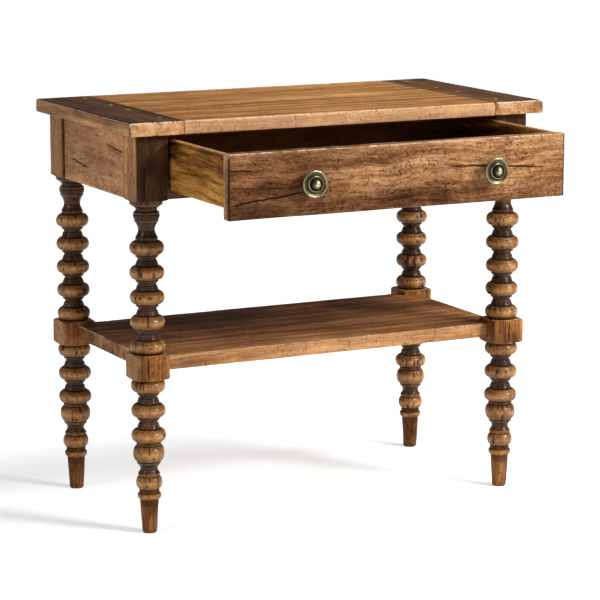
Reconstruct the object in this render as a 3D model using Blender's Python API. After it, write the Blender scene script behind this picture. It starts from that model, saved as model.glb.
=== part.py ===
"""Side table with one drawer, solid wood, on four turned legs with a low shelf.

Metres, +Z up, the front of the table faces -Y. The drawer stands open by DRAWER_OPEN, and slides along Y.
The origin is on the floor, in the middle of the whole table's box with the drawer at that opening.
"""

import math

import bmesh
import bpy

for old_object in list(bpy.data.objects):
    bpy.data.objects.remove(old_object, do_unlink=True)

# ---------------------------------------------------------------- driving dimensions
# table top: a panel with a breadboard end across each side, each end pegged four times
TABLE_HEIGHT = 0.635
TOP_WIDTH = 0.711
TOP_DEPTH = 0.381
TOP_THICKNESS = 0.021
TOP_EASE = 0.003
BREADBOARD_WIDTH = 0.088
TONGUE_LENGTH = 0.042
TONGUE_THICKNESS = 0.007
TONGUE_SETBACK = 0.014
PEG_RADIUS = 0.0038
PEG_LENGTH = 0.016
PEG_INSET_LEFT = 0.017
PEG_INSET_RIGHT = 0.031
PEG_FRONT_DISTANCE = 0.052
PEG_BACK_DISTANCE = 0.034
PEG_PAIR_SPACING = 0.069
PEG_PAIR_SHIFT = 0.017

# overhang of the top beyond the outer faces of the legs
SIDE_OVERHANG = 0.018
FRONT_OVERHANG = 0.0188
BACK_OVERHANG = 0.0106

# legs: square blocks at the apron and at the shelf, turned between them and below
LEG_SQUARE = 0.053
LEG_SIDES = 16
SHOULDER_HEIGHT = 0.0035
BEAD_HEIGHT = 0.021
BEAD_EDGE_RADIUS = 0.0172
BEAD_SWELL = 0.0093
LINK_HEIGHT = 0.0168
LINK_RADII = (0.0182, 0.0142, 0.0172, 0.0158)
# turned lengths from top to bottom: (height, radius at its top, radius at its foot, swell or -hollow, steps)
HEAD_TURNING = (
    (0.0040, 0.0262, 0.0250, 0.0, 1),
    (0.0050, 0.0255, 0.0255, 0.0010, 2),
    (0.0040, 0.0235, 0.0175, 0.0, 1),
    (0.0065, 0.0175, 0.0180, -0.0012, 2),
    (0.0070, 0.0188, 0.0190, 0.0021, 2),
    (0.0055, 0.0188, 0.0186, 0.0015, 2),
    (0.0230, 0.0180, 0.0168, -0.0038, 4),
    (0.0060, 0.0168, 0.0160, 0.0011, 2),
)
FOOT_TURNING = (
    (0.0050, 0.0190, 0.0192, 0.0, 1),
    (0.0250, 0.0176, 0.0176, 0.0067, 4),
    (0.0035, 0.0188, 0.0186, 0.0, 1),
    (0.0145, 0.0180, 0.0165, -0.0036, 2),
    (0.0055, 0.0168, 0.0162, 0.0008, 1),
    (0.0195, 0.0150, 0.0150, 0.0053, 4),
    (0.0070, 0.0158, 0.0158, -0.0004, 1),
    (0.0090, 0.0160, 0.0150, 0.0027, 2),
    (0.0515, 0.0146, 0.0114, 0.0, 1),
    (0.0020, 0.0114, 0.0100, 0.0, 1),
)

# aprons and the two rails above and below the drawer
APRON_HEIGHT = 0.101
APRON_THICKNESS = 0.020
APRON_INSET = 0.0045
TENON_LENGTH = 0.020
TENON_THICKNESS = 0.008
TENON_SHOULDER = 0.010
LOWER_RAIL_HEIGHT = 0.0140
LOWER_RAIL_DEPTH = 0.033
UPPER_RAIL_HEIGHT = 0.0070
UPPER_RAIL_DEPTH = 0.028
RAIL_TENON_LENGTH = 0.018
RUNNER_OVERLAP = 0.019
GUIDE_HEIGHT = 0.018

# shelf of two boards, its edges on the legs' centre lines
SHELF_TOP_HEIGHT = 0.2725
SHELF_THICKNESS = 0.0225
SHELF_FRONT_BOARD = 0.141
BLOCK_ABOVE_SHELF = 0.0073
BLOCK_BELOW_SHELF = 0.0092

# drawer
DRAWER_OPEN = 0.200
DRAWER_SIDE_GAP = 0.0033
DRAWER_FRONT_DROP = 0.0030
DRAWER_TOP_GAP = 0.0008
FRONT_THICKNESS = 0.018
FRONT_LAP = 0.006
DRAWER_BACK_CLEARANCE = 0.007
SIDE_THICKNESS = 0.010
SIDE_TOP_DROP = 0.001
BACK_TOP_DROP = 0.005
BOTTOM_THICKNESS = 0.005
BOTTOM_RAISE = 0.008
BOTTOM_GROOVE = 0.005

# knobs, turned in brass, each with a screw through the drawer front
KNOB_SPACING = 0.304
KNOB_RADIUS = 0.0197
KNOB_PROJECTION = 0.0275
KNOB_SIDES = 24
SCREW_RADIUS = 0.0020
SCREW_HEAD_RADIUS = 0.0045
SCREW_HEAD_HEIGHT = 0.0025
SCREW_REACH = 0.009

# clearances
GAP = 0.0003
SLIDE_GAP = 0.0005

# ---------------------------------------------------------------- places worked out from the dimensions
HALF_SQUARE = LEG_SQUARE / 2
TOP_UNDERSIDE = TABLE_HEIGHT - TOP_THICKNESS
APRON_BOTTOM = TOP_UNDERSIDE - APRON_HEIGHT
LEG_X = TOP_WIDTH / 2 - SIDE_OVERHANG - HALF_SQUARE
SHELF_UNDERSIDE = SHELF_TOP_HEIGHT - SHELF_THICKNESS

# before the shift to the origin, y = 0 is the middle of the table top
top_front = -TOP_DEPTH / 2
top_back = TOP_DEPTH / 2
leg_face_front = top_front + FRONT_OVERHANG
table_front_limit = leg_face_front - DRAWER_OPEN - KNOB_PROJECTION
SHIFT_Y = -(table_front_limit + top_back) / 2

TOP_FRONT = top_front + SHIFT_Y
TOP_BACK = top_back + SHIFT_Y
LEG_FACE_FRONT = leg_face_front + SHIFT_Y
LEG_FRONT_Y = LEG_FACE_FRONT + HALF_SQUARE
LEG_BACK_Y = TOP_BACK - BACK_OVERHANG - HALF_SQUARE
BLOCK_INNER_X = LEG_X - HALF_SQUARE
BLOCK_INNER_FRONT = LEG_FRONT_Y + HALF_SQUARE
BLOCK_INNER_BACK = LEG_BACK_Y - HALF_SQUARE
APRON_OUTER_X = LEG_X + HALF_SQUARE - APRON_INSET
APRON_INNER_X = APRON_OUTER_X - APRON_THICKNESS
BACK_APRON_OUTER_Y = LEG_BACK_Y + HALF_SQUARE - APRON_INSET
LOWER_RAIL_FRONT = LEG_FACE_FRONT + FRONT_THICKNESS + SLIDE_GAP
LOWER_RAIL_BACK = min(LOWER_RAIL_FRONT + LOWER_RAIL_DEPTH, BLOCK_INNER_FRONT)
LOWER_RAIL_TOP = APRON_BOTTOM + LOWER_RAIL_HEIGHT
UPPER_RAIL_UNDERSIDE = TOP_UNDERSIDE - UPPER_RAIL_HEIGHT
DRAWER_HALF_WIDTH = BLOCK_INNER_X - DRAWER_SIDE_GAP
DRAWER_FACE = LEG_FACE_FRONT - DRAWER_OPEN
DRAWER_BACK = BACK_APRON_OUTER_Y - APRON_THICKNESS - DRAWER_BACK_CLEARANCE - DRAWER_OPEN
DRAWER_TOP = UPPER_RAIL_UNDERSIDE - DRAWER_TOP_GAP
DRAWER_FRONT_BOTTOM = APRON_BOTTOM - DRAWER_FRONT_DROP
SIDE_BOTTOM = LOWER_RAIL_TOP + SLIDE_GAP
SIDE_TOP = DRAWER_TOP - SIDE_TOP_DROP
BOTTOM_UNDERSIDE = SIDE_BOTTOM + BOTTOM_RAISE
KNOB_HEIGHT = (DRAWER_TOP + DRAWER_FRONT_BOTTOM) / 2


# ---------------------------------------------------------------- materials
def material(name, colour, roughness, metallic=0.0):
    """A Principled BSDF with one colour."""
    made = bpy.data.materials.new(name)
    made.use_nodes = True
    shader = made.node_tree.nodes["Principled BSDF"]
    shader.inputs["Base Color"].default_value = (*colour, 1.0)
    shader.inputs["Roughness"].default_value = roughness
    shader.inputs["Metallic"].default_value = metallic
    made.diffuse_color = (*colour, 1.0)
    return made


HONEY_WOOD = material("honey_wood", (0.42, 0.24, 0.11), 0.55)
UMBER_WOOD = material("umber_wood", (0.16, 0.085, 0.045), 0.55)
LEG_WOOD = material("leg_wood", (0.28, 0.15, 0.07), 0.5)
FRONT_WOOD = material("drawer_front_wood", (0.38, 0.21, 0.11), 0.55)
INNER_WOOD = material("inner_wood", (0.25, 0.16, 0.08), 0.7)
PEG_WOOD = material("peg_wood", (0.50, 0.36, 0.24), 0.6)
BRASS = material("aged_brass", (0.48, 0.40, 0.24), 0.35, 1.0)
STEEL = material("screw_steel", (0.45, 0.44, 0.42), 0.4, 1.0)


# ---------------------------------------------------------------- modelling helpers
def place(name, bm, finish, parent=None, location=(0.0, 0.0, 0.0)):
    """Turn a bmesh into a named object at a location, parented without moving it."""
    bmesh.ops.recalc_face_normals(bm, faces=bm.faces)
    mesh = bpy.data.meshes.new(name)
    bm.to_mesh(mesh)
    bm.free()
    if finish is not None:
        mesh.materials.append(finish)
    made = bpy.data.objects.new(name, mesh)
    bpy.context.scene.collection.objects.link(made)
    made.location = location
    if parent is not None:
        made.parent = parent
        made.location = [a - b for a, b in zip(location, parent.location)]
    return made


def box_mesh(x, y, z, ease=0.0, eased=None):
    """A box between pairs of coordinates; the edges whose midpoint passes eased() are bevelled."""
    bm = bmesh.new()
    bmesh.ops.create_cube(bm, size=1.0)
    for vert in bm.verts:
        for axis, (low, high) in enumerate((x, y, z)):
            vert.co[axis] = low if vert.co[axis] < 0 else high
    if ease > 0:
        chosen = [e for e in bm.edges if eased is None or eased((e.verts[0].co + e.verts[1].co) / 2)]
        bmesh.ops.bevel(bm, geom=chosen, offset=ease, segments=2, profile=0.5, affect="EDGES")
    return bm


def centred_box(name, x, y, z, finish, parent=None, ease=0.0, eased=None):
    """A box object whose own origin is at its middle; eased() is asked about points in the world."""
    middle = [sum(pair) / 2 for pair in (x, y, z)]
    local = [(low - m, high - m) for (low, high), m in zip((x, y, z), middle)]
    test = None if eased is None else (lambda point: eased([a + b for a, b in zip(point, middle)]))
    return place(name, box_mesh(*local, ease, test), finish, parent, middle)


def ring(bm, points):
    return [bm.verts.new(point) for point in points]


def turned_mesh(profile, sides):
    """A solid of revolution about Z from (radius, height) points, top to bottom, with both ends closed."""
    bm = bmesh.new()
    rings = []
    for radius, height in profile:
        angles = [2 * math.pi * k / sides for k in range(sides)]
        rings.append(ring(bm, [(radius * math.cos(a), radius * math.sin(a), height) for a in angles]))
    join_rings(bm, rings)
    return bm


def join_rings(bm, rings):
    """Faces between each ring and the next, and one flat face over each end."""
    for upper, lower in zip(rings, rings[1:]):
        count = len(upper)
        for k in range(count):
            bm.faces.new((upper[k], lower[k], lower[(k + 1) % count], upper[(k + 1) % count]))
    bm.faces.new(rings[0])
    bm.faces.new(rings[-1][::-1])


def cut(target, cutters):
    """Subtract each cutter from the target; the cutters stay in the file as hidden wire guides."""
    for cutter in cutters:
        cutter.hide_render = True
        cutter.display_type = "WIRE"
        step = target.modifiers.new(cutter.name, "BOOLEAN")
        step.operation = "DIFFERENCE"
        step.solver = "EXACT"
        step.object = cutter


def box_cutter(name, x, y, z):
    return centred_box("cut_" + name, x, y, z, None)


def smooth(made, angle_degrees):
    made.data.shade_smooth()
    made.data.set_sharp_from_angle(angle=math.radians(angle_degrees))
    return made


def mirrored(side, low, high):
    """The x pair for a side: -1 left, +1 right, from distances low and high from the middle."""
    return tuple(sorted((side * low, side * high)))


def add_tenon(bm, axis, end, length, section):
    """Grow a tenon from one end face (end is -1 or 1); section maps the other axes to (low, high)."""
    face = max(bm.faces, key=lambda f: (round(f.normal[axis] * end, 3), f.calc_center_median()[axis] * end))
    bmesh.ops.inset_individual(bm, faces=[face], thickness=0.001)
    for vert in face.verts:
        for other, (low, high) in section.items():
            middle = face.calc_center_median()[other]
            vert.co[other] = low if vert.co[other] < middle else high
    tip = bmesh.ops.extrude_discrete_faces(bm, faces=[face])["faces"][0]
    for vert in tip.verts:
        vert.co[axis] += end * length


# ---------------------------------------------------------------- table top
table = bpy.data.objects.new("table", None)
bpy.context.scene.collection.objects.link(table)

JOINT_X = TOP_WIDTH / 2 - BREADBOARD_WIDTH
TONGUE_MIDDLE = TABLE_HEIGHT - TOP_THICKNESS / 2
TONGUE_Z = (TONGUE_MIDDLE - TONGUE_THICKNESS / 2, TONGUE_MIDDLE + TONGUE_THICKNESS / 2)
TONGUE_Y = (TOP_FRONT + TONGUE_SETBACK, TOP_BACK - TONGUE_SETBACK)
PEG_INSET = {"left": PEG_INSET_LEFT, "right": PEG_INSET_RIGHT}
SIDES = {"left": -1, "right": 1}


def peg_places(name):
    """The four peg centres of one breadboard end, front to back: one near each edge and a pair between."""
    x = SIDES[name] * (JOINT_X + PEG_INSET[name])
    pair = (TOP_FRONT + TOP_BACK) / 2 + PEG_PAIR_SHIFT
    stations = (
        TOP_FRONT + PEG_FRONT_DISTANCE,
        pair - PEG_PAIR_SPACING / 2,
        pair + PEG_PAIR_SPACING / 2,
        TOP_BACK - PEG_BACK_DISTANCE,
    )
    return [(x, y) for y in stations]


def peg_cutter(name, x, y):
    bm = turned_mesh([(PEG_RADIUS + GAP, 0.01), (PEG_RADIUS + GAP, -PEG_LENGTH - GAP)], 12)
    return place("cut_" + name, bm, None, location=(x, y, TABLE_HEIGHT))


def make_top():
    bm = box_mesh(
        (-JOINT_X + GAP / 2, JOINT_X - GAP / 2),
        (TOP_FRONT, TOP_BACK),
        (TOP_UNDERSIDE, TABLE_HEIGHT),
        TOP_EASE,
        lambda point: abs(point.x) < JOINT_X / 2,
    )
    for end in (-1, 1):
        add_tenon(bm, 0, end, TONGUE_LENGTH, {1: TONGUE_Y, 2: TONGUE_Z})
    panel = place("top_panel", bm, HONEY_WOOD, table)
    holes = []
    for name, side in SIDES.items():
        board = centred_box(
            f"breadboard_end_{name}",
            mirrored(side, JOINT_X + GAP / 2, TOP_WIDTH / 2),
            (TOP_FRONT, TOP_BACK),
            (TOP_UNDERSIDE, TABLE_HEIGHT),
            UMBER_WOOD,
            table,
            TOP_EASE,
            lambda point: abs(point[0]) > JOINT_X + GAP,
        )
        groove = box_cutter(
            f"groove_{name}",
            mirrored(side, JOINT_X - GAP, JOINT_X + TONGUE_LENGTH + GAP),
            (TONGUE_Y[0] - GAP, TONGUE_Y[1] + GAP),
            (TONGUE_Z[0] - GAP, TONGUE_Z[1] + GAP),
        )
        drilled = []
        for number, (x, y) in enumerate(peg_places(name), 1):
            label = f"breadboard_peg_{name}_{number}"
            drilled.append(peg_cutter(label, x, y))
            peg = turned_mesh([(PEG_RADIUS, 0.0), (PEG_RADIUS, -PEG_LENGTH)], 12)
            smooth(place(label, peg, PEG_WOOD, table, (x, y, TABLE_HEIGHT)), 40)
        cut(board, [groove, *drilled])
        holes += drilled
    cut(panel, holes)


# ---------------------------------------------------------------- legs
def turned_points(schedule, top):
    """(radius, height) down a schedule of turned lengths: a straight taper plus a half wave of swell."""
    points = []
    for height, upper, lower, swell, steps in schedule:
        for k in range(steps + 1):
            t = k / steps
            points.append((upper + (lower - upper) * t + swell * math.sin(math.pi * t), top - height * t))
        top -= height
    return points


def bead_stack(top, bottom):
    """Equal beads touching both ends of a stretch, with a hollow link between each and the next."""
    pitch = BEAD_HEIGHT + LINK_HEIGHT
    gaps = max(1, round((top - bottom - BEAD_HEIGHT) / pitch))
    pitch = (top - bottom - BEAD_HEIGHT) / gaps
    bead = (BEAD_HEIGHT, BEAD_EDGE_RADIUS, BEAD_EDGE_RADIUS, BEAD_SWELL, 4)
    link = pitch - BEAD_HEIGHT
    points = []
    for k in range(gaps + 1):
        start = top - k * pitch
        points += turned_points([bead], start)
        if k < gaps:
            drops = (0.08, 0.45, 0.80, 0.96)
            points += [(radius, start - BEAD_HEIGHT - link * drop) for radius, drop in zip(LINK_RADII, drops)]
    return points


def leg_profile():
    """(radius, height) from the top of the leg to its sole; square lengths take half the diagonal."""
    corner = HALF_SQUARE * math.sqrt(2)
    block_top = SHELF_TOP_HEIGHT + BLOCK_ABOVE_SHELF
    block_bottom = SHELF_UNDERSIDE - BLOCK_BELOW_SHELF
    head_height = sum(length[0] for length in HEAD_TURNING)
    foot_height = sum(length[0] for length in FOOT_TURNING)
    rounded = (corner, (corner + HALF_SQUARE) / 2 + 0.0018, HALF_SQUARE)
    points = [(corner, TOP_UNDERSIDE - GAP)]
    points += [(r, APRON_BOTTOM + SHOULDER_HEIGHT * s) for r, s in zip(rounded, (1.0, 0.35, 0.0))]
    points += turned_points(HEAD_TURNING, APRON_BOTTOM)
    points += bead_stack(APRON_BOTTOM - head_height, block_top)
    points += [(r, block_top - SHOULDER_HEIGHT * s) for r, s in zip(rounded[::-1], (0.0, 0.35, 1.0))]
    points += [(r, block_bottom + SHOULDER_HEIGHT * s) for r, s in zip(rounded, (1.0, 0.35, 0.0))]
    points += bead_stack(block_bottom, foot_height)
    points += turned_points(FOOT_TURNING, foot_height)
    return points


def leg_mesh():
    """The turned leg: every ring is the circle of its radius, trimmed by the square of the stock."""
    bm = bmesh.new()
    rings = []
    last = None
    for radius, height in leg_profile():
        if last is not None and abs(last[0] - radius) < 0.0002 and abs(last[1] - height) < 0.0002:
            continue
        last = (radius, height)
        points = []
        for k in range(LEG_SIDES):
            angle = 2 * math.pi * k / LEG_SIDES
            c, s = math.cos(angle), math.sin(angle)
            reach = min(radius, HALF_SQUARE / max(abs(c), abs(s)))
            points.append((reach * c, reach * s, height))
        rings.append(ring(bm, points))
    join_rings(bm, rings)
    return bm


def tenon_span(low, high):
    middle = (low + high) / 2
    return (middle - TENON_THICKNESS / 2, middle + TENON_THICKNESS / 2)


SIDE_TENON_X = tenon_span(APRON_INNER_X, APRON_OUTER_X)
BACK_TENON_Y = tenon_span(BACK_APRON_OUTER_Y - APRON_THICKNESS, BACK_APRON_OUTER_Y)
APRON_TENON_Z = (APRON_BOTTOM + TENON_SHOULDER, TOP_UNDERSIDE - GAP - TENON_SHOULDER)
LOWER_TENON_Z = (APRON_BOTTOM + 0.003, LOWER_RAIL_TOP - 0.003)
LOWER_TENON_Y = (LOWER_RAIL_FRONT + 0.006, LOWER_RAIL_BACK - 0.006)
UPPER_RAIL_Y = (LOWER_RAIL_FRONT, LOWER_RAIL_FRONT + UPPER_RAIL_DEPTH)
UPPER_TENON_Y = (UPPER_RAIL_Y[0] + 0.004, UPPER_RAIL_Y[1] - 0.004)


def widened(pair):
    return (pair[0] - GAP, pair[1] + GAP)


def make_leg(row, name):
    """One leg, with the shelf's notch and the mortises that its place needs."""
    side = SIDES[name]
    leg_y = LEG_FRONT_Y if row == "front" else LEG_BACK_Y
    inward = 1 if row == "front" else -1
    leg = smooth(place(f"leg_{row}_{name}", leg_mesh(), LEG_WOOD, table, (side * LEG_X, leg_y, 0.0)), 35)
    inner_face_y = leg_y + inward * HALF_SQUARE
    beyond = 0.004
    label = f"{row}_{name}"
    cutters = [
        box_cutter(
            "shelf_notch_" + label,
            mirrored(side, BLOCK_INNER_X - beyond, LEG_X),
            tuple(sorted((leg_y, inner_face_y + inward * beyond))),
            (SHELF_UNDERSIDE - GAP, SHELF_TOP_HEIGHT + GAP),
        ),
        box_cutter(
            "side_mortise_" + label,
            widened(mirrored(side, *SIDE_TENON_X)),
            tuple(sorted((inner_face_y + inward * beyond, inner_face_y - inward * (TENON_LENGTH + GAP)))),
            widened(APRON_TENON_Z),
        ),
    ]
    if row == "back":
        mortise_x = mirrored(side, BLOCK_INNER_X - beyond, BLOCK_INNER_X + TENON_LENGTH + GAP)
        mortise_y = widened(BACK_TENON_Y)
        cutters.append(box_cutter("back_mortise_" + label, mortise_x, mortise_y, widened(APRON_TENON_Z)))
    else:
        mortise_x = mirrored(side, BLOCK_INNER_X - beyond, BLOCK_INNER_X + RAIL_TENON_LENGTH + GAP)
        upper_z = (UPPER_RAIL_UNDERSIDE - GAP, TOP_UNDERSIDE + beyond)
        mortise_y = widened(LOWER_TENON_Y)
        cutters.append(box_cutter("lower_mortise_" + label, mortise_x, mortise_y, widened(LOWER_TENON_Z)))
        cutters.append(box_cutter("upper_socket_" + label, mortise_x, widened(UPPER_TENON_Y), upper_z))
    cut(leg, cutters)


# ---------------------------------------------------------------- aprons, rails, runners, guides and kickers
def tenoned_board(name, x, y, z, finish, axis, length, section):
    """A board with a tenon on both ends along an axis."""
    bm = box_mesh(x, y, z)
    for end in (-1, 1):
        add_tenon(bm, axis, end, length, section)
    return place(name, bm, finish, table)


def make_frame():
    rail_x = (-BLOCK_INNER_X + GAP, BLOCK_INNER_X - GAP)
    between_blocks = (BLOCK_INNER_FRONT + GAP, BLOCK_INNER_BACK - GAP)
    under_top = TOP_UNDERSIDE - GAP
    for name, side in SIDES.items():
        tenoned_board(
            f"side_apron_{name}",
            mirrored(side, APRON_INNER_X, APRON_OUTER_X),
            between_blocks,
            (APRON_BOTTOM, under_top),
            LEG_WOOD,
            1,
            TENON_LENGTH,
            {0: mirrored(side, *SIDE_TENON_X), 2: APRON_TENON_Z},
        )
        inner = DRAWER_HALF_WIDTH - RUNNER_OVERLAP
        outer = APRON_INNER_X - GAP
        runner_top = LOWER_RAIL_TOP
        strips = {
            "runner": (inner, (APRON_BOTTOM, runner_top)),
            "guide": (DRAWER_HALF_WIDTH + SLIDE_GAP, (runner_top + GAP, runner_top + GUIDE_HEIGHT)),
            "kicker": (inner, (UPPER_RAIL_UNDERSIDE, under_top)),
        }
        for kind, (edge, z) in strips.items():
            x = mirrored(side, edge, outer)
            centred_box(f"drawer_{kind}_{name}", x, between_blocks, z, INNER_WOOD, table)
    tenoned_board(
        "back_apron",
        rail_x,
        (BACK_APRON_OUTER_Y - APRON_THICKNESS, BACK_APRON_OUTER_Y),
        (APRON_BOTTOM, under_top),
        LEG_WOOD,
        0,
        TENON_LENGTH,
        {1: BACK_TENON_Y, 2: APRON_TENON_Z},
    )
    tenoned_board(
        "lower_front_rail",
        rail_x,
        (LOWER_RAIL_FRONT, LOWER_RAIL_BACK),
        (APRON_BOTTOM, LOWER_RAIL_TOP),
        LEG_WOOD,
        0,
        RAIL_TENON_LENGTH,
        {1: LOWER_TENON_Y, 2: LOWER_TENON_Z},
    )
    tenoned_board(
        "upper_front_rail",
        rail_x,
        UPPER_RAIL_Y,
        (UPPER_RAIL_UNDERSIDE, under_top),
        INNER_WOOD,
        0,
        RAIL_TENON_LENGTH,
        {1: UPPER_TENON_Y, 2: (UPPER_RAIL_UNDERSIDE, under_top - 0.001)},
    )


# ---------------------------------------------------------------- shelf
def make_shelf():
    """Two boards side by side, their outer corners seated in the notches of the legs' blocks."""
    seam = LEG_FRONT_Y + SHELF_FRONT_BOARD
    boards = {
        "front": (LEG_FRONT_Y + GAP, seam - GAP / 2),
        "back": (seam + GAP / 2, LEG_BACK_Y - GAP),
    }
    for name, y in boards.items():
        outer = y[0] if name == "front" else y[1]
        centred_box(
            f"shelf_board_{name}",
            (-LEG_X + GAP, LEG_X - GAP),
            y,
            (SHELF_UNDERSIDE, SHELF_TOP_HEIGHT),
            HONEY_WOOD,
            table,
            0.0015,
            lambda point, outer=outer: abs(point[1] - outer) < 0.001 and abs(point[0]) < 0.001,
        )


# ---------------------------------------------------------------- drawer
def make_drawer():
    """The box, the front with its lapped ends, and the knobs; all hang on one empty on the sliding line."""
    drawer = bpy.data.objects.new("drawer", None)
    bpy.context.scene.collection.objects.link(drawer)
    drawer.location = (0.0, DRAWER_FACE, KNOB_HEIGHT)
    front_back = DRAWER_FACE + FRONT_THICKNESS
    side_front = front_back - FRONT_LAP
    side_inner = DRAWER_HALF_WIDTH - SIDE_THICKNESS
    side_middle = (side_front + GAP + DRAWER_BACK) / 2
    bottom_z = (BOTTOM_UNDERSIDE, BOTTOM_UNDERSIDE + BOTTOM_THICKNESS)

    front = centred_box(
        "drawer_front",
        (-DRAWER_HALF_WIDTH, DRAWER_HALF_WIDTH),
        (DRAWER_FACE, front_back),
        (DRAWER_FRONT_BOTTOM, DRAWER_TOP),
        FRONT_WOOD,
        drawer,
        0.0015,
        lambda point: point[1] < DRAWER_FACE + 0.001,
    )
    front_cuts = [
        box_cutter(
            "front_groove",
            (-side_inner - BOTTOM_GROOVE, side_inner + BOTTOM_GROOVE),
            (front_back - BOTTOM_GROOVE, front_back + 0.004),
            widened(bottom_z),
        )
    ]
    for name, side in SIDES.items():
        front_cuts.append(
            box_cutter(
                f"lap_{name}",
                mirrored(side, side_inner - GAP, DRAWER_HALF_WIDTH + 0.004),
                (side_front, front_back + 0.004),
                (SIDE_BOTTOM - GAP, DRAWER_TOP + 0.004),
            )
        )
        board = centred_box(
            f"drawer_side_{name}",
            mirrored(side, side_inner, DRAWER_HALF_WIDTH),
            (side_front + GAP, DRAWER_BACK),
            (SIDE_BOTTOM, SIDE_TOP),
            INNER_WOOD,
            drawer,
            0.0020,
            lambda point: abs(point[2] - SIDE_TOP) < 0.001 and abs(point[1] - side_middle) < 0.01,
        )
        groove = box_cutter(
            f"side_groove_{name}",
            mirrored(side, side_inner - 0.004, side_inner + BOTTOM_GROOVE),
            (side_front - 0.004, DRAWER_BACK + 0.004),
            widened(bottom_z),
        )
        cut(board, [groove])
    centred_box(
        "drawer_back",
        (-side_inner + GAP, side_inner - GAP),
        (DRAWER_BACK - SIDE_THICKNESS, DRAWER_BACK),
        (bottom_z[1] + GAP, SIDE_TOP - BACK_TOP_DROP),
        INNER_WOOD,
        drawer,
    )
    reach = side_inner + BOTTOM_GROOVE - GAP
    centred_box(
        "drawer_bottom",
        (-reach, reach),
        (front_back - BOTTOM_GROOVE + GAP, DRAWER_BACK),
        bottom_z,
        INNER_WOOD,
        drawer,
    )
    for name, side in SIDES.items():
        front_cuts.append(make_knob(name, side * KNOB_SPACING / 2, front_back, drawer))
    cut(front, front_cuts)


def knob_profile():
    """(radius, distance out from the drawer front): dome, groove, inner ring, dish, rim and stem."""
    dome_radius = 0.0080
    dome_height = 0.0065
    ring_radius = 0.0112
    rim_thickness = 0.0030
    stem_radius = 0.0065
    foot_radius = 0.0095
    rim = KNOB_PROJECTION - dome_height - 0.0020
    points = []
    for k in range(1, 5):
        angle = math.pi / 2 * k / 4
        height = KNOB_PROJECTION - dome_height * (1 - math.cos(angle))
        points.append((dome_radius * math.sin(angle), height))
    points += [
        (dome_radius + 0.0012, rim + 0.0010),
        (ring_radius, rim + 0.0024),
        (ring_radius + 0.0020, rim - 0.0006),
        (KNOB_RADIUS - 0.0032, rim - 0.0004),
        (KNOB_RADIUS - 0.0012, rim + 0.0008),
        (KNOB_RADIUS, rim - rim_thickness / 3),
        (KNOB_RADIUS - 0.0010, rim - rim_thickness),
        (stem_radius + 0.0030, rim - rim_thickness - 0.0030),
        (stem_radius, rim - rim_thickness - 0.0065),
        (stem_radius, 0.0035),
        (foot_radius, 0.0015),
        (foot_radius, GAP),
    ]
    return points


def make_knob(name, x, front_back, parent):
    """A turned knob and the screw behind it; returns the cutter for the screw's hole in the front."""
    forward = (math.pi / 2, 0.0, 0.0)
    seat = (x, DRAWER_FACE, KNOB_HEIGHT)
    knob = smooth(place(f"knob_{name}", turned_mesh(knob_profile(), KNOB_SIDES), BRASS, parent, seat), 30)
    knob.rotation_euler = forward
    tip = FRONT_THICKNESS + SCREW_REACH
    thread_hole = turned_mesh([(SCREW_RADIUS + GAP, SCREW_REACH + GAP), (SCREW_RADIUS + GAP, -0.004)], 12)
    thread_cutter = place(f"cut_thread_{name}", thread_hole, None, location=seat)
    thread_cutter.rotation_euler = forward
    cut(knob, [thread_cutter])

    screw_points = [
        (SCREW_RADIUS, tip),
        (SCREW_RADIUS, -GAP),
        (SCREW_HEAD_RADIUS, -GAP),
        (SCREW_HEAD_RADIUS, -SCREW_HEAD_HEIGHT * 0.6),
        (SCREW_HEAD_RADIUS * 0.6, -SCREW_HEAD_HEIGHT),
    ]
    behind = (x, front_back, KNOB_HEIGHT)
    screw = smooth(place(f"knob_screw_{name}", turned_mesh(screw_points, 12), STEEL, parent, behind), 30)
    screw.rotation_euler = forward
    hole = turned_mesh([(SCREW_RADIUS + GAP, FRONT_THICKNESS + 0.004), (SCREW_RADIUS + GAP, -0.004)], 12)
    cutter = place(f"cut_screw_{name}", hole, None, location=behind)
    cutter.rotation_euler = forward
    return cutter


make_top()
for leg_row in ("front", "back"):
    for leg_side in SIDES:
        make_leg(leg_row, leg_side)
make_frame()
make_shelf()
make_drawer()
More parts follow.
